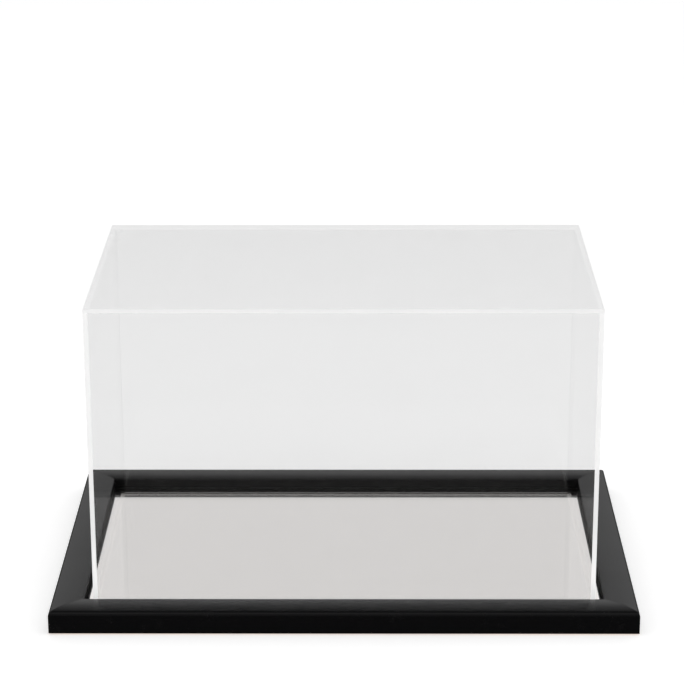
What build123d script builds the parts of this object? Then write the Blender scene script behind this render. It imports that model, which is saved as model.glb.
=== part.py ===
from build123d import *
import os

# Tabletop display case: a clear five-panel acrylic cover stands inside a low
# black frame of mitred moulding, whose floor is a mirror.
# Millimetres, +Z up, +X to the right, +Y to the back. The origin is the middle
# of the footprint, on the surface that the case stands on.

# Acrylic cover, outside sizes
cover_width = 330.0
cover_depth = 195.0
cover_height = 203.0
sheet = 3.0  # thickness of every panel
cover_travel = 220.0  # lift that takes the cover clear of what is shown under it

# Free space round the foot of the cover
side_gap = 5.0
end_gap = 7.5  # at the front and at the back

# Frame moulding, in its section: inset from the outer face, height above its underside
rail_width = 21.5
shoulder_height = 14.6  # top of the outer face
crown_inset = 9.0  # where the shallow arched top passes crown_height
crown_height = 16.0
lip_height = 15.0  # top of the inner face
shoulder_radius = 3.3
lip_radius = 1.5
rebate_width = 6.5  # the step under the lip that holds the floor
rebate_height = 8.5

# Floor of the case
mirror_thickness = 3.0
mirror_arris = 0.3  # ground edges of the glass
board_thickness = 3.0
floor_play = 1.5  # gap between the floor panels and the rebate wall

# Mitre fasteners: V-shaped nails pressed in from underneath
nail_leg = 4.0
nail_thickness = 0.4
nail_depth = 7.0
nail_insets = (6.0, 12.5)  # inset of each nail's apex from both outer faces

# Framer's points, pushed into the rebate wall under the backing board
point_width = 5.0
point_thickness = 0.4
point_bite = 7.0  # length in the wood
point_reach = 8.0  # length that shows under the board
point_tip = 2.5  # length of the tapered tip
points_long_side = 4
points_short_side = 2
point_end_margin = 45.0  # from a rail's outer end to its first point

# Felt pads
pad_diameter = 10.0
pad_thickness = 1.0
pad_from_corner = 28.0  # along the long rails
pad_inset = 9.0  # from the rail's outer face

# Sizes that follow from those above
frame_width = cover_width + 2 * (side_gap + rail_width)
frame_depth = cover_depth + 2 * (end_gap + rail_width)
land_width = rail_width - rebate_width  # flat underside of the moulding
frame_underside = pad_thickness
mirror_top = frame_underside + rebate_height
board_top = mirror_top - mirror_thickness
points_top = board_top - board_thickness
floor_width = frame_width - 2 * (land_width + floor_play)
floor_depth = frame_depth - 2 * (land_width + floor_play)
wall_height = cover_height - sheet


def block(size_x, size_y, size_z, x, y, bottom):
    """A plain panel, centred on x and y, standing on the height bottom."""
    panel = Box(size_x, size_y, size_z, align=(Align.CENTER, Align.CENTER, Align.MIN))
    return Pos(x, y, bottom) * panel


def cover_panels():
    """Five cemented panels. The top lies on the walls, and the side walls run
    the full depth, so the front and back walls stand between them."""
    side_x = (cover_width - sheet) / 2
    wall_y = (cover_depth - sheet) / 2
    inner_width = cover_width - 2 * sheet
    foot = mirror_top
    return {
        "cover_top_panel": block(cover_width, cover_depth, sheet, 0, 0, foot + wall_height),
        "cover_front_panel": block(inner_width, sheet, wall_height, 0, -wall_y, foot),
        "cover_back_panel": block(inner_width, sheet, wall_height, 0, wall_y, foot),
        "cover_left_panel": block(sheet, cover_depth, wall_height, -side_x, 0, foot),
        "cover_right_panel": block(sheet, cover_depth, wall_height, side_x, 0, foot),
    }


def moulding_section():
    """The moulding's section. Local X is the inset from the outer face, local Y
    the height: a flat outer face, an arched top and a rebate under the lip."""
    flats = Polyline(
        (0, shoulder_height),
        (0, 0),
        (land_width, 0),
        (land_width, rebate_height),
        (rail_width, rebate_height),
        (rail_width, lip_height),
    )
    crown = ThreePointArc(
        (0, shoulder_height), (crown_inset, crown_height), (rail_width, lip_height)
    )
    section = make_face(flats.edges() + crown.edges())
    by_inset = section.vertices().sort_by(Axis.X)
    shoulder = by_inset.group_by(Axis.X)[0].sort_by(Axis.Y)[-1]
    section = fillet(shoulder, shoulder_radius)
    lip = section.vertices().group_by(Axis.X)[-1].sort_by(Axis.Y)[-1]
    return fillet(lip, lip_radius)


def rail(length, offset, turn):
    """A rail with 45 degree mitres. Made at the front with its outer face at
    -offset, then turned about Z to its own side."""
    outer = -offset
    start = Plane(origin=(-length / 2, outer, frame_underside), x_dir=(0, 1, 0), z_dir=(1, 0, 0))
    bar = extrude(start * moulding_section(), amount=length)
    plan = Polyline(
        (-length / 2, outer),
        (length / 2, outer),
        (length / 2 - rail_width, outer + rail_width),
        (-length / 2 + rail_width, outer + rail_width),
        close=True,
    )
    taller = frame_underside + 2 * crown_height
    mitred = bar & extrude(make_face(plan.edges()), amount=taller)
    return Rot(0, 0, turn) * mitred


def v_nail(inset, turn, corner_x, corner_y):
    """One V nail with its legs along the two outer faces of a corner. The apex
    lies on the mitre, and one leg is in each rail."""
    outline = Polyline(
        (0, 0),
        (nail_leg, 0),
        (nail_leg, nail_thickness),
        (nail_thickness, nail_thickness),
        (nail_thickness, nail_leg),
        (0, nail_leg),
        close=True,
    )
    nail = extrude(make_face(outline.edges()), amount=nail_depth)
    spot = Pos(corner_x, corner_y, frame_underside) * Rot(0, 0, turn)
    return spot * Pos(-inset, -inset, 0) * nail


def v_nails():
    """Two nails across each of the four mitres."""
    half_width = frame_width / 2
    half_depth = frame_depth / 2
    corners = (
        (0, half_width, half_depth),
        (90, -half_width, half_depth),
        (180, -half_width, -half_depth),
        (270, half_width, -half_depth),
    )
    return [v_nail(inset, turn, x, y) for turn, x, y in corners for inset in nail_insets]


def glazing_point():
    """A thin steel strip with a tapered tip, pointing to -Y. Y = 0 is the
    rebate wall, and the strip's top is at Z = 0."""
    half = point_width / 2
    outline = Polyline(
        (0, -point_bite),
        (half, -point_bite + point_tip),
        (half, point_reach),
        (-half, point_reach),
        (-half, -point_bite + point_tip),
        close=True,
    )
    return extrude(make_face(outline.edges()), amount=-point_thickness)


def point_row(length, offset, count, turn):
    """Evenly spaced points along one rail's rebate wall."""
    wall = -offset + land_width
    span = length - 2 * point_end_margin
    step = span / (count - 1)
    spots = [Pos(-span / 2 + step * i, wall, points_top) for i in range(count)]
    return [Rot(0, 0, turn) * spot * glazing_point() for spot in spots]


def glazing_points():
    """The points on all four sides."""
    points = []
    for turn in (0, 180):
        points += point_row(frame_width, frame_depth / 2, points_long_side, turn)
    for turn in (90, 270):
        points += point_row(frame_depth, frame_width / 2, points_short_side, turn)
    return points


def base_rails(nails, points):
    """The four mitred rails, with the slots that the nails and points make."""
    sides = {
        "front_rail": rail(frame_width, frame_depth / 2, 0),
        "right_rail": rail(frame_depth, frame_width / 2, 90),
        "back_rail": rail(frame_width, frame_depth / 2, 180),
        "left_rail": rail(frame_depth, frame_width / 2, 270),
    }
    return {name: side - nails - points for name, side in sides.items()}


def mirror_panel():
    """Glass mirror under the lip, with ground edges."""
    glass = block(floor_width, floor_depth, mirror_thickness, 0, 0, board_top)
    return chamfer(glass.edges(), mirror_arris)


def felt_pads():
    """Four round pads under the long rails, near the corners."""
    x = frame_width / 2 - pad_from_corner
    y = frame_depth / 2 - pad_inset
    pad = Cylinder(pad_diameter / 2, pad_thickness, align=(Align.CENTER, Align.CENTER, Align.MIN))
    return {
        f"felt_pad_{row}_{side}": Pos(x * sign_x, y * sign_y, 0) * pad
        for row, sign_y in (("front", -1), ("back", 1))
        for side, sign_x in (("left", -1), ("right", 1))
    }


nails = v_nails()
points = glazing_points()

nodes = {
    **cover_panels(),
    **base_rails(nails, points),
    "mirror_panel": mirror_panel(),
    "backing_board": block(floor_width, floor_depth, board_thickness, 0, 0, points_top),
    "corner_v_nails": Compound(children=nails),
    "glazing_points": Compound(children=points),
    **felt_pads(),
}

os.makedirs("parts", exist_ok=True)
for name, shape in nodes.items():
    export_step(shape, f"parts/{name}.step")

print("frame", frame_width, "x", frame_depth, "total height", mirror_top + cover_height)
print("cover lift", cover_travel)
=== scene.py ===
import math
import bpy
import bmesh
from mathutils import Matrix, Quaternion, Vector, noise


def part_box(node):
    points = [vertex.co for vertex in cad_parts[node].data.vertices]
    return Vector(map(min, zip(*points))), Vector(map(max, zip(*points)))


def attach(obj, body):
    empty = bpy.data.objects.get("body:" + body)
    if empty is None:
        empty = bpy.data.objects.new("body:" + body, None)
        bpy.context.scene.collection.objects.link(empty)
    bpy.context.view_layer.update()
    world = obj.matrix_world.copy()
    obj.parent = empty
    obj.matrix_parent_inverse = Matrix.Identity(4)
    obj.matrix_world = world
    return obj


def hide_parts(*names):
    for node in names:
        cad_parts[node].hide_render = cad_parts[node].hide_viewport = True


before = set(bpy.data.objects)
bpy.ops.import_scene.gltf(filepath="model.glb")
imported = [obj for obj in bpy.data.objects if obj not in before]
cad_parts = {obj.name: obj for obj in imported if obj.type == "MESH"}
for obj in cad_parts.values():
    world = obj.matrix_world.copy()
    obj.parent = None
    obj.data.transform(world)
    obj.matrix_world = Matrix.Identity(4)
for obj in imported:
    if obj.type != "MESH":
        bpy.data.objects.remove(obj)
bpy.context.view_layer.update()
mm = 0.001
squareOn = 0.99     # the least that a face's normal reaches along the axis it looks down
print("frame loaded:", len(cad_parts), "nodes")


# a socket that can be added, multiplied and so on, which adds the Math nodes
class Value:
    def __init__(self, shader, socket):
        self.shader = shader
        self.socket = socket

    def maths(self, operation, a, b):
        return self.shader.node("ShaderNodeMath", {"operation": operation}, {0: a, 1: b})

    def __add__(self, other):
        return self.maths("ADD", self, other)

    def __radd__(self, other):
        return self.maths("ADD", other, self)

    def __sub__(self, other):
        return self.maths("SUBTRACT", self, other)

    def __rsub__(self, other):
        return self.maths("SUBTRACT", other, self)

    def __mul__(self, other):
        return self.maths("MULTIPLY", self, other)

    def __rmul__(self, other):
        return self.maths("MULTIPLY", other, self)

    def __pow__(self, other):
        return self.maths("POWER", self, other)


# the node tree of a material or of the world
class Shader:
    def __init__(self, owner, outputKind):
        owner.use_nodes = True
        self.owner = owner
        self.tree = owner.node_tree
        self.tree.nodes.clear()
        self.output = self.tree.nodes.new(outputKind)

    # settings go on first, because a setting can change which sockets a node has
    def node(self, kind, settings, inputs, out=0):
        made = self.tree.nodes.new(kind)
        for key, value in settings.items():
            if key == "stops":
                self.setStops(made.color_ramp, value)
            else:
                setattr(made, key, value)
        for key, value in inputs.items():
            self.feed(made.inputs[key], value)
        return Value(self, made.outputs[out])

    def setStops(self, ramp, stops):
        while len(ramp.elements) < len(stops):
            ramp.elements.new(1.0)
        for element, (place, colour) in zip(ramp.elements, stops):
            element.position = place
            element.color = (*colour, 1.0)

    def feed(self, socket, value):
        if isinstance(value, Value):
            self.tree.links.new(value.socket, socket)
        elif socket.type == "RGBA":
            socket.default_value = (*value, 1.0)
        else:
            socket.default_value = value

    def mixColour(self, share, a, b):
        return self.node("ShaderNodeMix", {"data_type": "RGBA"}, {"Factor": share, 6: a, 7: b}, out=2)

    def mixShader(self, share, a, b):
        return self.node("ShaderNodeMixShader", {}, {"Fac": share, 1: a, 2: b})

    def least(self, a, b):
        return self.node("ShaderNodeMath", {"operation": "MINIMUM"}, {0: a, 1: b})

    def ramp(self, value, low, high):     # 0 to 1 smoothly between low and high
        return self.node(
            "ShaderNodeMapRange",
            {"interpolation_type": "SMOOTHSTEP"},
            {"Value": value, "From Min": low, "From Max": high},
        )

    def place(self, scale=(1, 1, 1), turn=(0, 0, 0)):     # the piece's own place, in metres
        own = self.node("ShaderNodeTexCoord", {}, {}, out="Object")
        return self.node("ShaderNodeMapping", {}, {"Vector": own, "Rotation": turn, "Scale": scale})

    def noise(self, at, scale, detail=3.0, rough=0.5):
        inputs = {"Vector": at, "Scale": scale, "Detail": detail, "Roughness": rough}
        return self.node("ShaderNodeTexNoise", {}, inputs)

    def specks(self, at, scale, size):     # scattered round spots, 1 inside and 0 outside
        away = self.node("ShaderNodeTexVoronoi", {}, {"Vector": at, "Scale": scale}, out="Distance")
        return 1 - self.ramp(away, size * 0.6, size)

    def bump(self, height, distance):
        inputs = {"Height": height, "Distance": distance, "Strength": 1.0}
        return self.node("ShaderNodeBump", {}, inputs)

    def finish(self, shader):
        self.tree.links.new(shader.socket, self.output.inputs["Surface"])
        return self.owner


def newShader(name):
    return Shader(bpy.data.materials.new(name), "ShaderNodeOutputMaterial")


def newPiece(name, mesh, slots):
    data = bpy.data.meshes.new(name)
    mesh.to_mesh(data)
    mesh.free()
    for slot in slots:
        data.materials.append(slot)
    piece = bpy.data.objects.new(name, data)
    bpy.context.scene.collection.objects.link(piece)
    return piece


# says what a piece stands for, by hiding the CAD node it replaces, and what it moves with
def settle(piece, stoodFor, body):
    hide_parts(stoodFor)
    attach(piece, body)


def shadeRound(mesh, sharpest):
    for face in mesh.faces:
        face.smooth = True
    for edge in mesh.edges:
        edge.smooth = edge.is_manifold and edge.calc_face_angle() < sharpest


def easeEdges(mesh, edges, amount, steps):
    bmesh.ops.bevel(
        mesh, geom=edges, offset=amount, affect="EDGES", segments=steps, profile=0.5, material=-1
    )


# moves a finished bmesh into another one
def pourInto(mesh, single):
    loose = bpy.data.meshes.new("loose")
    single.to_mesh(loose)
    single.free()
    mesh.from_mesh(loose)
    bpy.data.meshes.remove(loose)


# a square-edged panel between two corners
def panelBetween(low, high):
    mesh = bmesh.new()
    bmesh.ops.create_cube(mesh, size=1.0)
    bmesh.ops.scale(mesh, vec=high - low, verts=mesh.verts)
    bmesh.ops.translate(mesh, vec=(low + high) / 2, verts=mesh.verts)
    return mesh


coverSettings = {
    "ease": 0.35 * mm,          # scraped edges of the sheet
    "easeSteps": 2,
    "jointGap": 0.015 * mm,     # film of cement
    "footGap": 0.02 * mm,
    "wallClearness": 0.96,      # light that each face lets by, apart from its reflection
    "topClearness": 0.955,
    "squareShine": 0.028,       # reflected by a face seen square on
    "grazingShine": 0.96,       # added to that towards edge on
    "wallShine": 0.032,         # most that a face reflects
    "topShine": 0.19,
    "edgeTone": (0.95, 0.945, 0.94),
    "edgeCloud": (0.9, 0.905, 0.9),
    "farPaintedGlow": (0.33, 0.33, 0.33),     # what is left of the painted edge glow higher up
    "paintedGlowStart": 0.01,          # heights in metres between which the painted edge glow falls off, so it is brightest near the bottom
    "paintedGlowRise": 0.07,
    "wallPaintedGlow": 0.6,            # painted glow: emission on the edges, standing in for light carried through the sheet
    "topPaintedGlow": 0.5,
    "footPaintedGlow": 0.62,
    "edgeSolid": 1.0,           # how far an edge hides what is behind it
    "footSolid": 0.3,
    "wallTint": 0.93,           # light let by where an edge is seen from inside the sheet
    "topTint": 0.83,
    "footTint": 0.995,
    "jointLength": 10 * mm,     # an upright edge is longer than this
}


# see-through sheet: a share of each face reflects and the rest lets light by
def acrylicFace(name, mostShine, clearness):
    s = newShader(name)
    facing = s.node("ShaderNodeLayerWeight", {}, {"Blend": 0.5}, out="Facing")
    wiped = s.noise(s.place((1.0, 1.0, 3.0), (0.3, 0.2, 0.5)), 26.0, 4.0, 0.6)
    hairlines = s.noise(s.place((1.0, 1.0, 40.0), (0.9, 0.4, 0.2)), 70.0, 2.0)
    dust = s.specks(s.place(), 130.0, 0.055)
    haze = s.ramp(wiped, 0.52, 0.8) * 0.006 + s.ramp(hairlines, 0.72, 0.8) * 0.008 + dust * 0.02
    mirrored = coverSettings["squareShine"] + facing ** 5.0 * coverSettings["grazingShine"]
    share = s.least(mirrored, mostShine) + haze
    normal = s.bump(s.noise(s.place(), 9.0, 1.0), 0.00004)     # the sheet is never quite flat
    shine = s.node("ShaderNodeBsdfAnisotropic", {}, {
        "Color": (1, 1, 1),
        "Roughness": haze * 2.0,
        "Normal": normal,
    })
    clear = s.node("ShaderNodeBsdfTransparent", {}, {"Color": (clearness, clearness, clearness)})
    return s.finish(s.mixShader(share, clear, shine))


# sawn and flamed edge with a painted glow: emission that stands in for light gathered through the
# sheet; it can't be seen from inside the sheet
def acrylicEdgeWithPaintedGlow(name, glow, solidity, tint):
    s = newShader(name)
    sawn = s.noise(s.place((900.0, 900.0, 60.0)), 1.0, 2.0)
    cloudy = s.noise(s.place(), 60.0, 3.0)
    clouds = s.ramp(cloudy, 0.35, 0.7)
    lit = s.mixColour(clouds, coverSettings["edgeTone"], coverSettings["edgeCloud"])
    # painted glow: brightest near the bottom of each edge and dimmer with height
    height = s.node("ShaderNodeSeparateXYZ", {}, {"Vector": s.place()}, out="Z")
    paintedGlowFade = s.ramp(height, coverSettings["paintedGlowStart"], coverSettings["paintedGlowRise"])
    paintedGlowColour = s.mixColour(paintedGlowFade, lit, coverSettings["farPaintedGlow"])
    # the emission is a painted glow: the edge shines though it is no lamp
    body = s.node("ShaderNodeBsdfPrincipled", {}, {
        "Base Color": lit,
        "Roughness": 0.18 + sawn * 0.12,
        "IOR": 1.49,
        "Emission Color": paintedGlowColour,
        "Emission Strength": glow,
        "Normal": s.bump(sawn, 0.00001),
    })
    hidden = s.node("ShaderNodeNewGeometry", {}, {}, out="Backfacing")
    clear = s.node("ShaderNodeBsdfTransparent", {}, {"Color": (tint, tint, tint)})
    return s.finish(s.mixShader((1 - hidden) * (0.9 + cloudy * 0.1) * solidity, clear, body))


# cemented face: clear, with a few tiny bubbles
def cementFilm():
    s = newShader("cementFilm")
    bubbles = s.specks(s.place(), 900.0, 0.22) * s.ramp(s.noise(s.place(), 40.0), 0.5, 0.62)
    white = s.node("ShaderNodeBsdfDiffuse", {}, {"Color": (0.85, 0.85, 0.85)})
    clear = s.node("ShaderNodeBsdfTransparent", {}, {"Color": (0.99, 0.99, 0.99)})
    return s.finish(s.mixShader(bubbles * 0.25, clear, white))


coverSlots = {"face": 0, "edge": 1, "cemented": 2, "foot": 3}

# which sides of each panel are cemented to another panel
joined = {
    "cover_top_panel": [],
    "cover_front_panel": ["+X", "-X", "+Z"],
    "cover_back_panel": ["+X", "-X", "+Z"],
    "cover_left_panel": ["+Z"],
    "cover_right_panel": ["+Z"],
}
sideNormals = {"+X": Vector((1, 0, 0)), "-X": Vector((-1, 0, 0)), "+Z": Vector((0, 0, 1))}


# edges in a cemented corner aren't scraped
def staysSquare(edge, side):
    upright = abs(edge.verts[0].co.z - edge.verts[1].co.z) > coverSettings["jointLength"]
    for face in edge.link_faces:
        if face.material_index == coverSlots["cemented"] or (upright and face.normal.x * side < -0.01):
            return True
    return False


def coverPanel(name, slots):
    low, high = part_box(name)
    if name != "cover_top_panel":
        low = low + Vector((0, 0, coverSettings["footGap"]))
    for side in joined[name]:
        inwards = -sideNormals[side] * coverSettings["jointGap"]
        if side[0] == "-":
            low = low + inwards
        else:
            high = high + inwards
    mesh = panelBetween(low, high)
    size = high - low
    thin = min(range(3), key=lambda axis: size[axis])
    wall = thin != 2
    for face in mesh.faces:
        kind = "face" if abs(face.normal[thin]) > squareOn else "edge"
        if face.normal.z < -squareOn and wall:
            kind = "foot"
        for side in joined[name]:
            if face.normal.dot(sideNormals[side]) > squareOn:
                kind = "cemented"
        face.material_index = coverSlots[kind]
    free = [edge for edge in mesh.edges if not staysSquare(edge, low.x + high.x)]
    easeEdges(mesh, free, coverSettings["ease"], coverSettings["easeSteps"])
    for face in mesh.faces:
        slanted = max(abs(part) for part in face.normal) < squareOn
        if slanted and wall:
            face.material_index = coverSlots["foot" if face.normal.z < -0.1 else "edge"]
    settle(newPiece("clear_" + name, mesh, slots), name, "cover")


def makeCover():
    c = coverSettings
    wallSlots = [
        acrylicFace("acrylicWall", c["wallShine"], c["wallClearness"]),
        acrylicEdgeWithPaintedGlow("wallEdgePaintedGlow", c["wallPaintedGlow"], c["edgeSolid"], c["wallTint"]),
        cementFilm(),
        acrylicEdgeWithPaintedGlow("wallFootPaintedGlow", c["footPaintedGlow"], c["footSolid"], c["footTint"]),
    ]
    topSlots = [
        acrylicFace("acrylicTop", c["topShine"], c["topClearness"]),
        acrylicEdgeWithPaintedGlow("topEdgePaintedGlow", c["topPaintedGlow"], c["edgeSolid"], c["topTint"]),
    ]
    for name in joined:
        coverPanel(name, topSlots if name == "cover_top_panel" else wallSlots)


makeCover()
print("cover made")

railSettings = {
    "shoulderHeight": 14.6 * mm,     # above the underside, as are the other heights
    "crownInset": 9.0 * mm,
    "crownHeight": 16.0 * mm,
    "lipHeight": 15.0 * mm,
    "shoulderRadius": 3.3 * mm,
    "lipRadius": 1.5 * mm,
    "rebateWidth": 6.5 * mm,
    "rebateHeight": 8.5 * mm,
    "archSteps": 12,
    "roundSteps": 8,
    "filletRoom": 0.3 * mm,          # of the arch left out beside each rounded corner
    "mitreEase": 0.12 * mm,
    "black": (0.0042, 0.0042, 0.0046),
    "worn": (0.011, 0.0105, 0.0105),
    "gloss": 0.23,                   # roughness of the satin lacquer
}


# satin black lacquer over wood, whose grain runs along local X before the turn
def lacquer(name, turn):
    s = newShader(name)
    at = s.place((1, 1, 1), (0, 0, turn))
    along = s.node("ShaderNodeMapping", {}, {"Vector": at, "Scale": (0.03, 1.0, 1.0)})
    grain = s.noise(along, 1400.0, 4.0, 0.6)
    peel = s.noise(at, 700.0, 2.0)
    clouds = s.noise(at, 22.0, 4.0, 0.6)
    nibs = s.specks(at, 150.0, 0.045)
    rubbed = s.ramp(s.noise(at, 90.0, 5.0, 0.7), 0.55, 0.75)
    height = grain * 0.35 + peel * 0.35 + nibs
    coat = s.node("ShaderNodeBsdfPrincipled", {}, {
        "Base Color": s.mixColour(rubbed * 0.35, railSettings["black"], railSettings["worn"]),
        "Roughness": railSettings["gloss"] + s.ramp(clouds, 0.35, 0.7) * 0.03 + rubbed * 0.02,
        "IOR": 1.27,
        "Normal": s.bump(height, 0.000004),
    })
    return s.finish(coat)


# the lip next to the mirror and its underside, blacked with matt paint
def mattBlack():
    s = newShader("mattBlackLip")
    brushed = s.noise(s.place(), 800.0, 3.0, 0.6)
    paint = s.node("ShaderNodeBsdfPrincipled", {}, {
        "Base Color": s.mixColour(brushed * 0.5, (0.002, 0.002, 0.0022), railSettings["worn"]),
        "Roughness": 0.6 + brushed * 0.2,
        "IOR": 1.12,
        "Normal": s.bump(brushed, 0.00002),
    })
    return s.finish(paint)


# machined bare wood, stained by handling
def bareWood(name, turn):
    s = newShader(name)
    at = s.place((1, 1, 1), (0, 0, turn))
    along = s.node("ShaderNodeMapping", {}, {"Vector": at, "Scale": (0.025, 1.0, 1.0)})
    rings = s.noise(along, 260.0, 5.0, 0.65)
    fibres = s.noise(along, 1900.0, 3.0, 0.6)
    grime = s.noise(at, 45.0, 4.0, 0.6)
    tone = s.mixColour(s.ramp(rings, 0.35, 0.7), (0.5, 0.33, 0.18), (0.34, 0.2, 0.1))
    tone = s.mixColour(s.ramp(grime, 0.5, 0.8) * 0.5, tone, (0.17, 0.12, 0.08))
    wood = s.node("ShaderNodeBsdfPrincipled", {}, {
        "Base Color": s.mixColour(s.ramp(fibres, 0.45, 0.75) * 0.35, tone, (0.2, 0.12, 0.06)),
        "Roughness": 0.62 + fibres * 0.2,
        "IOR": 1.45,
        "Normal": s.bump(fibres * 0.6 + rings * 0.6, 0.00008),
    })
    return s.finish(wood)


# height of the arched top at an inset from the outer face
def archHeight(inset, width):
    crown = railSettings["crownInset"]
    atShoulder = (inset - crown) * (inset - width) / (crown * width)
    atCrown = inset * (inset - width) / (crown * (crown - width))
    atLip = inset * (inset - crown) / (width * (width - crown))
    return (
        atShoulder * railSettings["shoulderHeight"]
        + atCrown * railSettings["crownHeight"]
        + atLip * railSettings["lipHeight"]
    )


# the moulding's outline as one face: x is 0, y the inset and z the height
def mouldingSection(mesh, width):
    land = width - railSettings["rebateWidth"]
    rebate = railSettings["rebateHeight"]
    clear = railSettings["shoulderRadius"] + railSettings["filletRoom"]
    steps = railSettings["archSteps"]
    lip = (width, railSettings["lipHeight"])
    outline = [(0, 0), (land, 0), (land, rebate), (width, rebate), lip]
    for i in range(steps + 1):
        inset = (width - clear) + (2 * clear - width) * i / steps
        outline.append((inset, archHeight(inset, width)))
    outline.append((0, railSettings["shoulderHeight"]))
    corners = [mesh.verts.new((0, inset, height)) for inset, height in outline]
    mesh.faces.new(corners)
    for corner, radius in ((corners[4], "lipRadius"), (corners[-1], "shoulderRadius")):
        arms = [(edge.other_vert(corner).co - corner.co) for edge in corner.link_edges]
        reach = railSettings[radius] / math.tan(arms[0].angle(arms[1]) / 2)
        bmesh.ops.bevel(
            mesh, geom=[corner], offset=reach, affect="VERTICES",
            segments=railSettings["roundSteps"], profile=0.5, material=-1,
        )


railSlots = {"lacquer": 0, "wood": 1, "lip": 2}
squarely = 0.9     # a face this square on to the inside or the ground counts as facing it


# a mitred length of moulding, made at the front and turned to its own side
def rail(name, turn, slots):
    low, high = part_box(name)
    size = high - low
    length, width = max(size.x, size.y), min(size.x, size.y)
    acrossAxis = 1 if length == size.x else 0
    outer = max(-low[acrossAxis], high[acrossAxis])
    mesh = bmesh.new()
    mouldingSection(mesh, width)
    grown = bmesh.ops.extrude_face_region(mesh, geom=mesh.faces[:])["geom"]
    farEnd = {part for part in grown if isinstance(part, bmesh.types.BMVert)}
    for vert in mesh.verts:
        reach = length / 2 - vert.co.y
        vert.co.x = reach if vert in farEnd else -reach
    bmesh.ops.recalc_face_normals(mesh, faces=mesh.faces)
    cuts = {face for face in mesh.faces if abs(face.normal.x) > 0.5}
    ends = [edge for edge in mesh.edges if any(face in cuts for face in edge.link_faces)]
    easeEdges(mesh, ends, railSettings["mitreEase"], 1)
    for face in mesh.faces:
        middle = face.calc_center_median()
        inwards = face.normal.y > squarely
        downwards = face.normal.z < -squarely
        underLip = downwards and middle.z > railSettings["rebateHeight"] / 2
        bare = downwards or (inwards and middle.z < railSettings["rebateHeight"])
        if underLip or (inwards and not bare):
            face.material_index = railSlots["lip"]
        else:
            face.material_index = railSlots["wood" if bare else "lacquer"]
    shadeRound(mesh, math.radians(30))
    bmesh.ops.translate(mesh, vec=(0, -outer, low.z), verts=mesh.verts)
    bmesh.ops.rotate(mesh, matrix=Matrix.Rotation(turn, 3, "Z"), verts=mesh.verts)
    piece = newPiece("lacquered_" + name, mesh, slots)
    weighted = piece.modifiers.new("evenShading", "WEIGHTED_NORMAL")
    weighted.keep_sharp = True
    settle(piece, name, "base")


def makeRails():
    quarter = math.pi / 2
    lip = mattBlack()
    longSlots = [lacquer("lacquerLongRails", 0), bareWood("woodLongRails", 0), lip]
    shortSlots = [lacquer("lacquerShortRails", quarter), bareWood("woodShortRails", quarter), lip]
    rail("front_rail", 0, longSlots)
    rail("right_rail", quarter, shortSlots)
    rail("back_rail", 2 * quarter, longSlots)
    rail("left_rail", 3 * quarter, shortSlots)


makeRails()
print("rails made")

mirrorSettings = {
    "ease": 0.3 * mm,
    "silverDepth": 0.81 * mm,     # where the silvered back seems to lie, seen through the glass
    "layerGap": 0.01 * mm,
    "silver": (0.965, 0.935, 0.925),
    "silverCloud": (0.94, 0.912, 0.903),
    "squareShine": 0.043,         # reflected by the front of the glass, seen square on
    "grazingShine": 0.957,        # added to that towards edge on
    "mostShine": 0.5,
    "groundEdge": (0.42, 0.56, 0.5),
    "backPaint": (0.2, 0.19, 0.18),
}


def silvering():
    s = newShader("silvering")
    wiped = s.noise(s.place((1.0, 3.0, 1.0), (0, 0, 0.6)), 18.0, 4.0, 0.6)
    dust = s.specks(s.place(), 160.0, 0.05) * s.ramp(s.noise(s.place(), 30.0), 0.45, 0.6)
    clouds = s.ramp(wiped, 0.4, 0.75) * 0.25
    tone = s.mixColour(clouds, mirrorSettings["silver"], mirrorSettings["silverCloud"])
    metal = s.node("ShaderNodeBsdfPrincipled", {}, {
        "Base Color": s.mixColour(dust * 0.3, tone, (0.9, 0.9, 0.88)),
        "Metallic": 1.0,
        "Roughness": dust * 0.25,
    })
    return s.finish(metal)


# front of the glass: a weak second reflection over the silvering
def clearGlass():
    s = newShader("clearGlass")
    facing = s.node("ShaderNodeLayerWeight", {}, {"Blend": 0.5}, out="Facing")
    mirrored = mirrorSettings["squareShine"] + facing ** 5.0 * mirrorSettings["grazingShine"]
    share = s.least(mirrored, mirrorSettings["mostShine"])
    shine = s.node("ShaderNodeBsdfAnisotropic", {}, {"Color": (1, 1, 1), "Roughness": 0.0})
    clear = s.node("ShaderNodeBsdfTransparent", {}, {"Color": (0.995, 0.998, 0.995)})
    return s.finish(s.mixShader(share, clear, shine))


def groundEdge():
    s = newShader("groundEdge")
    ground = s.noise(s.place(), 1500.0, 2.0)
    edge = s.node("ShaderNodeBsdfPrincipled", {}, {
        "Base Color": s.mixColour(ground, mirrorSettings["groundEdge"], (0.6, 0.7, 0.66)),
        "Roughness": 0.45 + ground * 0.2,
        "IOR": 1.52,
        "Normal": s.bump(ground, 0.00002),
    })
    return s.finish(edge)


def backPaint():
    s = newShader("backPaint")
    brushed = s.noise(s.place((60.0, 900.0, 60.0)), 1.0, 3.0)
    paint = s.node("ShaderNodeBsdfPrincipled", {}, {
        "Base Color": s.mixColour(brushed, mirrorSettings["backPaint"], (0.26, 0.25, 0.24)),
        "Roughness": 0.5 + brushed * 0.15,
        "Normal": s.bump(brushed, 0.00003),
    })
    return s.finish(paint)


# where the clear front meets the silvering, with nothing to see
def clearBond():
    s = newShader("clearBond")
    return s.finish(s.node("ShaderNodeBsdfTransparent", {}, {"Color": (1, 1, 1)}))


mirrorSlots = {"glass": 0, "ground": 1, "paint": 2, "silver": 3, "bond": 4}


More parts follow.
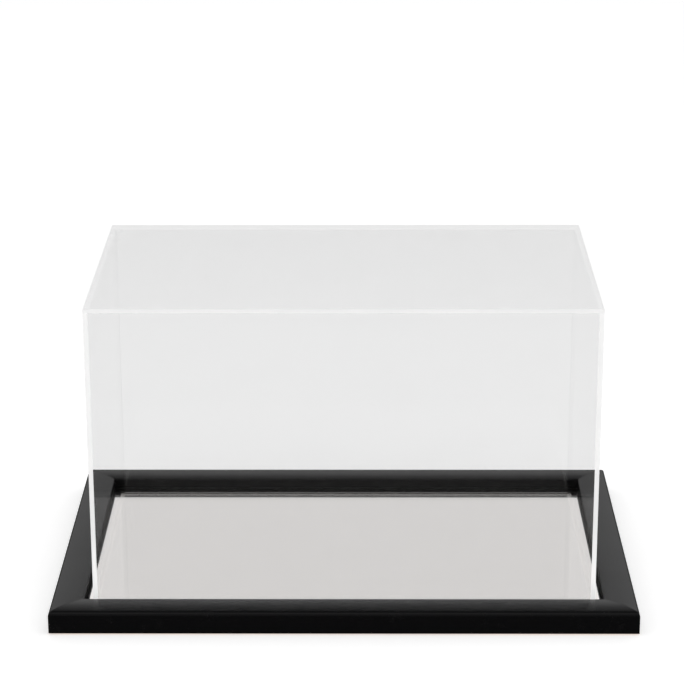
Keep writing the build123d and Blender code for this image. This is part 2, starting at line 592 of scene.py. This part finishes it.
# the glass above or below a height, closed again at the cut
def glassLayer(mesh, cut, above, topKind, underKind):
    low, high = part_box("mirror_panel")
    layer = panelBetween(low, high)
    easeEdges(layer, layer.edges[:], mirrorSettings["ease"], 1)
    geometry = layer.verts[:] + layer.edges[:] + layer.faces[:]
    bmesh.ops.bisect_plane(
        layer, geom=geometry, plane_co=(0, 0, cut), plane_no=(0, 0, 1),
        clear_inner=above, clear_outer=not above,
    )
    bmesh.ops.holes_fill(layer, edges=[edge for edge in layer.edges if edge.is_boundary])
    bmesh.ops.recalc_face_normals(layer, faces=layer.faces)
    for face in layer.faces:
        kind = topKind if face.normal.z > squareOn else "ground"
        if face.normal.z < -squareOn:
            kind = underKind
        face.material_index = mirrorSlots[kind]
    pourInto(mesh, layer)


def makeMirror():
    mesh = bmesh.new()
    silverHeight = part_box("mirror_panel")[1].z - mirrorSettings["silverDepth"]
    glassLayer(mesh, silverHeight, False, "silver", "paint")
    glassLayer(mesh, silverHeight + mirrorSettings["layerGap"], True, "glass", "bond")
    slots = [clearGlass(), groundEdge(), backPaint(), silvering(), clearBond()]
    piece = newPiece("silvered_mirror", mesh, slots)
    settle(piece, "mirror_panel", "base")


makeMirror()
print("mirror made")

boardSettings = {
    "ease": 0.25 * mm,
    "light": (0.36, 0.22, 0.115),
    "dark": (0.19, 0.105, 0.05),
    "screenPitch": 1.3 * mm,     # mark of the press screen on hardboard's back
    "bandsPerScale": 3.18,       # bands that a wave texture makes in a metre at scale 1
}


def hardboard():
    s = newShader("hardboard")
    at = s.place()
    fibres = s.noise(at, 420.0, 6.0, 0.7)
    clouds = s.noise(at, 35.0, 4.0, 0.6)
    flecks = s.specks(s.place((1.0, 2.6, 1.0), (0, 0, 0.8)), 260.0, 0.2)
    lines = 1.0 / boardSettings["screenPitch"] / boardSettings["bandsPerScale"]
    wires = {"Vector": at, "Scale": lines}
    across = s.node("ShaderNodeTexWave", {"bands_direction": "X"}, wires, out="Fac")
    down = s.node("ShaderNodeTexWave", {"bands_direction": "Y"}, wires, out="Fac")
    tone = s.mixColour(s.ramp(fibres, 0.3, 0.7), boardSettings["dark"], boardSettings["light"])
    tone = s.mixColour(s.ramp(clouds, 0.4, 0.7) * 0.3, tone, (0.26, 0.16, 0.09))
    board = s.node("ShaderNodeBsdfPrincipled", {}, {
        "Base Color": s.mixColour(flecks * 0.4, tone, (0.42, 0.3, 0.18)),
        "Roughness": 0.75 + fibres * 0.15,
        "IOR": 1.4,
        "Normal": s.bump(across * down * 0.8 + fibres * 0.5, 0.00012),
    })
    return s.finish(board)


def makeBoard():
    low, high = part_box("backing_board")
    mesh = panelBetween(low, high)
    easeEdges(mesh, mesh.edges[:], boardSettings["ease"], 2)
    settle(newPiece("hardboard_back", mesh, [hardboard()]), "backing_board", "base")


makeBoard()
print("backing board made")


def pressedSteel(name, toneA, toneB, roughness):
    s = newShader(name)
    at = s.place()
    rolled = s.noise(s.place((40.0, 1.0, 1.0), (0, 0, 0.2)), 90.0, 3.0)
    spots = s.ramp(s.noise(at, 420.0, 4.0, 0.6), 0.55, 0.75)
    steel = s.node("ShaderNodeBsdfPrincipled", {}, {
        "Base Color": s.mixColour(spots * 0.6, toneA, toneB),
        "Metallic": 0.5,
        "Roughness": roughness + rolled * 0.15 + spots * 0.1,
        "Normal": s.bump(rolled, 0.00001),
    })
    return s.finish(steel)


nailSettings = {
    "leg": 4.0 * mm,
    "thickness": 0.4 * mm,
    "depth": 7.0 * mm,
    "curl": 0.7 * mm,            # turned-in end of each leg
    "insets": (6.0 * mm, 12.5 * mm),
    "proud": 0.06 * mm,
    "bright": (0.62, 0.61, 0.6),
    "dull": (0.4, 0.38, 0.36),
    "gloss": 0.25,
}


# V nails across the mitres: a bent strip with both ends turned in
def vNail(mesh, inset, turn, corner):
    leg = nailSettings["leg"] - nailSettings["thickness"] / 2
    curl = nailSettings["curl"]
    half = nailSettings["thickness"] / 2
    end = [(leg - curl / 2, curl + half), (leg, curl * 0.6 + half), (leg - curl * 0.3, half)]
    line = end + [(half, half)]     # the strip's middle, from a turned-in end to the apex
    line = line + [(y, x) for x, y in reversed(line[:-1])]
    verts = [mesh.verts.new((x, y, -nailSettings["proud"])) for x, y in line]
    edges = [mesh.edges.new(pair) for pair in zip(verts, verts[1:])]
    drawn = bmesh.ops.extrude_edge_only(mesh, edges=edges)["geom"]
    raised = [part for part in drawn if isinstance(part, bmesh.types.BMVert)]
    rise = nailSettings["depth"] + nailSettings["proud"]
    bmesh.ops.translate(mesh, vec=(0, 0, rise), verts=raised)
    strip = verts + raised
    bmesh.ops.translate(mesh, vec=(-inset, -inset, 0), verts=strip)
    bmesh.ops.rotate(mesh, matrix=Matrix.Rotation(turn, 3, "Z"), verts=strip)
    bmesh.ops.translate(mesh, vec=corner, verts=strip)


def makeNails():
    low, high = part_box("front_rail")
    halfWidth, halfDepth, underside = high.x, -low.y, low.z
    mesh = bmesh.new()
    signs = ((1, 1), (-1, 1), (-1, -1), (1, -1))
    for i, (signX, signY) in enumerate(signs):
        corner = Vector((signX * halfWidth, signY * halfDepth, underside))
        for inset in nailSettings["insets"]:
            vNail(mesh, inset, i * math.pi / 2, corner)
    bmesh.ops.recalc_face_normals(mesh, faces=mesh.faces)
    bright, dull = nailSettings["bright"], nailSettings["dull"]
    steel = pressedSteel("nailSteel", bright, dull, nailSettings["gloss"])
    piece = newPiece("mitre_v_nails", mesh, [steel])
    thicken = piece.modifiers.new("stripThickness", "SOLIDIFY")
    thicken.thickness = nailSettings["thickness"]
    thicken.offset = 0.0
    settle(piece, "corner_v_nails", "base")


makeNails()
print("V nails made")

pointSettings = {
    "width": 5.0 * mm,
    "thickness": 0.4 * mm,
    "bite": 7.0 * mm,
    "reach": 8.0 * mm,
    "tip": 2.5 * mm,
    "drop": math.radians(3.0),     # the free end is bent a little away from the board
    "longSide": 4,
    "shortSide": 2,
    "endMargin": 45.0 * mm,
    "fold": 1.5 * mm,              # from the rebate wall to the bend
    "sharpest": 0.6,               # radians between faces, above which an edge is eased
    "ease": 0.08 * mm,
    "bright": (0.56, 0.56, 0.57),
    "dull": (0.36, 0.35, 0.34),
    "gloss": 0.3,
}


# one framer's point, its tip to -Y and the rebate wall at Y = 0, then put in place
def framersPoint(mesh, place):
    half = pointSettings["width"] / 2
    neck = pointSettings["tip"] - pointSettings["bite"]
    reach = pointSettings["reach"]
    outline = [(0, -pointSettings["bite"]), (half, neck), (half, reach), (-half, reach), (-half, neck)]
    single = bmesh.new()
    plate = single.faces.new([single.verts.new((x, y, 0)) for x, y in outline])
    grown = bmesh.ops.extrude_face_region(single, geom=[plate])["geom"]
    under = [part for part in grown if isinstance(part, bmesh.types.BMVert)]
    bmesh.ops.translate(single, vec=(0, 0, -pointSettings["thickness"]), verts=under)
    fold = pointSettings["fold"]
    geometry = single.verts[:] + single.edges[:] + single.faces[:]
    bmesh.ops.bisect_plane(single, geom=geometry, plane_co=(0, fold, 0), plane_no=(0, 1, 0))
    free = [vert for vert in single.verts if vert.co.y > fold + 0.01 * mm]
    bmesh.ops.rotate(
        single, cent=(0, fold, 0), matrix=Matrix.Rotation(-pointSettings["drop"], 3, "X"), verts=free
    )
    bmesh.ops.recalc_face_normals(single, faces=single.faces)
    sharp = [edge for edge in single.edges if edge.calc_face_angle() > pointSettings["sharpest"]]
    easeEdges(single, sharp, pointSettings["ease"], 1)
    bmesh.ops.transform(single, matrix=place, verts=single.verts)
    pourInto(mesh, single)


def makePoints():
    low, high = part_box("front_rail")
    land = (high.y - low.y) - railSettings["rebateWidth"]
    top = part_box("backing_board")[0].z
    halfWidth, halfDepth = high.x, -low.y
    mesh = bmesh.new()
    sides = (
        (0, halfWidth, halfDepth, pointSettings["longSide"]),
        (1, halfDepth, halfWidth, pointSettings["shortSide"]),
        (2, halfWidth, halfDepth, pointSettings["longSide"]),
        (3, halfDepth, halfWidth, pointSettings["shortSide"]),
    )
    for quarterTurns, halfLength, offset, count in sides:
        turn = Matrix.Rotation(quarterTurns * math.pi / 2, 4, "Z")
        span = 2 * (halfLength - pointSettings["endMargin"])
        for i in range(count):
            along = -span / 2 + span * i / (count - 1)
            framersPoint(mesh, turn @ Matrix.Translation((along, land - offset, top)))
    bright, dull = pointSettings["bright"], pointSettings["dull"]
    steel = pressedSteel("pointSteel", bright, dull, pointSettings["gloss"])
    settle(newPiece("framers_points", mesh, [steel]), "glazing_points", "base")


makePoints()
print("framer's points made")

padSettings = {
    "sides": 64,
    "rim": 0.35 * mm,
    "rings": (0.16, 0.24, 0.4),     # insets of each end, in radii
    "fuzz": 0.09 * mm,
    "tufts": 1400.0,                # of the fuzz in a metre
    "flatness": 0.3,
    "seed": 5,                      # the fuzz is the same in every run
    "black": (0.018, 0.018, 0.02),
    "lint": (0.07, 0.07, 0.072),
}


def feltCloth():
    s = newShader("feltCloth")
    matted = s.noise(s.place(), 900.0, 6.0, 0.75)
    tufts = s.noise(s.place(), 260.0, 3.0)
    felt = s.node("ShaderNodeBsdfPrincipled", {}, {
        "Base Color": s.mixColour(s.ramp(matted, 0.4, 0.75), padSettings["black"], padSettings["lint"]),
        "Roughness": 0.92,
        "IOR": 1.35,
        "Sheen Weight": 0.5,
        "Sheen Roughness": 0.5,
        "Normal": s.bump(matted + tufts * 0.6, 0.0002),
    })
    return s.finish(felt)


# a punched felt disc with a soft rim, a little out of true all over
def feltPad(name, cloth):
    low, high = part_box(name)
    mesh = bmesh.new()
    radius = (high.x - low.x) / 2 - padSettings["fuzz"]
    bmesh.ops.create_cone(
        mesh, cap_ends=True, segments=padSettings["sides"],
        radius1=radius, radius2=radius, depth=high.z - low.z,
    )
    rims = [edge for edge in mesh.edges if edge.calc_face_angle() > 1.0]
    easeEdges(mesh, rims, padSettings["rim"], 3)
    caps = [face for face in mesh.faces if abs(face.normal.z) > squareOn]
    for width in padSettings["rings"]:
        bmesh.ops.inset_region(mesh, faces=caps, thickness=radius * width)
    bmesh.ops.translate(mesh, vec=(low + high) / 2, verts=mesh.verts)
    for vert in mesh.verts:
        rough = noise.noise_vector(vert.co * padSettings["tufts"]) * padSettings["fuzz"]
        rough.z = rough.z * padSettings["flatness"]
        vert.co = vert.co + rough
        vert.co.z = min(max(vert.co.z, low.z), high.z)
    shadeRound(mesh, math.radians(60))
    settle(newPiece("punched_" + name, mesh, [cloth]), name, "base")


def makePads():
    noise.seed_set(padSettings["seed"])
    cloth = feltCloth()
    for row in ("front", "back"):
        for side in ("left", "right"):
            feltPad("felt_pad_" + row + "_" + side, cloth)


makePads()
print("felt pads made")

floorSettings = {"size": 60.0, "colour": (0.85, 0.85, 0.85), "glow": 0.47}


# pale table: lit by itself a little, so that it stays even; clear from below
def makeFloor():
    s = newShader("paleFloor")
    matt = s.node("ShaderNodeBsdfPrincipled", {}, {
        "Base Color": floorSettings["colour"],
        "Roughness": 1.0,
        "Specular IOR Level": 0.0,
        "Emission Color": (1, 1, 1),
        "Emission Strength": floorSettings["glow"],
    })
    below = s.node("ShaderNodeNewGeometry", {}, {}, out="Backfacing")
    clear = s.node("ShaderNodeBsdfTransparent", {}, {"Color": (1, 1, 1)})
    mesh = bmesh.new()
    bmesh.ops.create_grid(mesh, x_segments=1, y_segments=1, size=floorSettings["size"] / 2)
    floor = newPiece("floor", mesh, [s.finish(s.mixShader(below, matt, clear))])
    floor.visible_glossy = False


makeFloor()

# brightness of the room by the sine of the height above the horizon
worldSettings = {
    "behind": (
        (0.0, 0.6), (0.2, 0.75), (0.29, 0.93), (0.35, 1.1), (0.45, 1.08),
        (0.72, 0.6), (0.87, 0.45), (0.95, 0.17), (1.0, 0.17),
    ),
    "front": (
        (0.0, 0.42), (0.42, 0.5), (0.6, 0.55), (0.7, 0.95), (0.88, 0.95),
        (0.95, 0.17), (1.0, 0.17),
    ),
    "sideGlow": 0.45,
    "darkEnd": 0.5,     # how far the room falls off straight behind the camera
    "below": 0.03,
    # where each part of the room starts and is full, along a direction's X squared, Y or Z
    "frontToBehind": (-0.25, 0.25),
    "horizon": (-0.01, 0.01),
    "sideAcross": (0.3, 0.45),
    "sideFoot": (0.35, 0.5),
    "darkAcross": (0.02, 0.04),
    "darkBack": (-0.8, -0.6),
    "darkFoot": (0.1, 0.2),
    "darkTop": (0.45, 0.6),
}


def makeWorld():
    w = worldSettings
    world = bpy.data.worlds.new("studio")
    bpy.context.scene.world = world
    s = Shader(world, "ShaderNodeOutputWorld")
    direction = s.node("ShaderNodeTexCoord", {}, {}, out="Generated")
    sideways = s.node("ShaderNodeSeparateXYZ", {}, {"Vector": direction}, out="X")
    forwards = s.node("ShaderNodeSeparateXYZ", {}, {"Vector": direction}, out="Y")
    up = s.node("ShaderNodeSeparateXYZ", {}, {"Vector": direction}, out="Z")
    walls = {}
    for part in ("behind", "front"):
        stops = [(height, (level, level, level)) for height, level in w[part]]
        walls[part] = s.node("ShaderNodeValToRGB", {"stops": stops}, {"Fac": up})
    room = s.mixColour(s.ramp(forwards, *w["frontToBehind"]), walls["front"], walls["behind"])
    side = s.ramp(sideways * sideways, *w["sideAcross"]) * s.ramp(up, *w["sideFoot"])
    above = s.ramp(up, *w["horizon"])
    inLine = 1 - s.ramp(sideways * sideways, *w["darkAcross"])
    backwards = 1 - s.ramp(forwards, *w["darkBack"])
    lowDown = s.ramp(up, *w["darkFoot"]) * (1 - s.ramp(up, *w["darkTop"]))
    level = room + side * w["sideGlow"]
    level = level * (1 - inLine * backwards * lowDown * w["darkEnd"])
    level = level * above + (1 - above) * w["below"]
    seen = s.node("ShaderNodeLightPath", {}, {}, out="Is Camera Ray")
    s.finish(s.node("ShaderNodeBackground", {}, {"Strength": level * (1 - seen) + seen}))


makeWorld()


# metres and watts; the lamp looks at the middle of the case
lampSettings = {"place": Vector((0.2, -0.5, 2.6)), "width": 2.4, "depth": 1.8, "watts": 14.0}


def makeLamp():
    data = bpy.data.lights.new("overhead", "AREA")
    data.shape = "RECTANGLE"
    data.size = lampSettings["width"]
    data.size_y = lampSettings["depth"]
    data.energy = lampSettings["watts"]
    lamp = bpy.data.objects.new("overhead", data)
    lamp.location = lampSettings["place"]
    lamp.rotation_mode = "QUATERNION"
    lamp.rotation_quaternion = (-lampSettings["place"]).to_track_quat("-Z", "Y")
    lamp.visible_glossy = False
    lamp.visible_camera = False
    bpy.context.scene.collection.objects.link(lamp)


makeLamp()

cameraSettings = {
    "place": Vector((11.7, -1568.9, 684.8)) * mm,
    "pitch": math.radians(18.753),      # down from level
    "yaw": math.radians(-0.49),
    "roll": math.radians(-0.16),
    "lens": 125.9,
    "sensor": 36.0,
    "nearest": 0.01,                   # metres from the camera to what it can see
}


def makeCamera():
    data = bpy.data.cameras.new("camera")
    data.lens = cameraSettings["lens"]
    data.sensor_width = cameraSettings["sensor"]
    data.clip_start = cameraSettings["nearest"]
    camera = bpy.data.objects.new("camera", data)
    bpy.context.scene.collection.objects.link(camera)
    pitch, yaw = cameraSettings["pitch"], cameraSettings["yaw"]
    level = math.cos(pitch)
    ahead = Vector((math.sin(yaw) * level, math.cos(yaw) * level, -math.sin(pitch)))
    roll = Quaternion((0, 0, 1), cameraSettings["roll"])
    camera.rotation_mode = "QUATERNION"
    camera.rotation_quaternion = ahead.to_track_quat("-Z", "Y") @ roll
    camera.location = cameraSettings["place"]
    bpy.context.scene.camera = camera


makeCamera()
scene = bpy.context.scene
scene.view_settings.view_transform = "Standard"
scene.cycles.max_bounces = 24
scene.cycles.glossy_bounces = 12
scene.cycles.transparent_max_bounces = 48
print("floor, light and camera made")
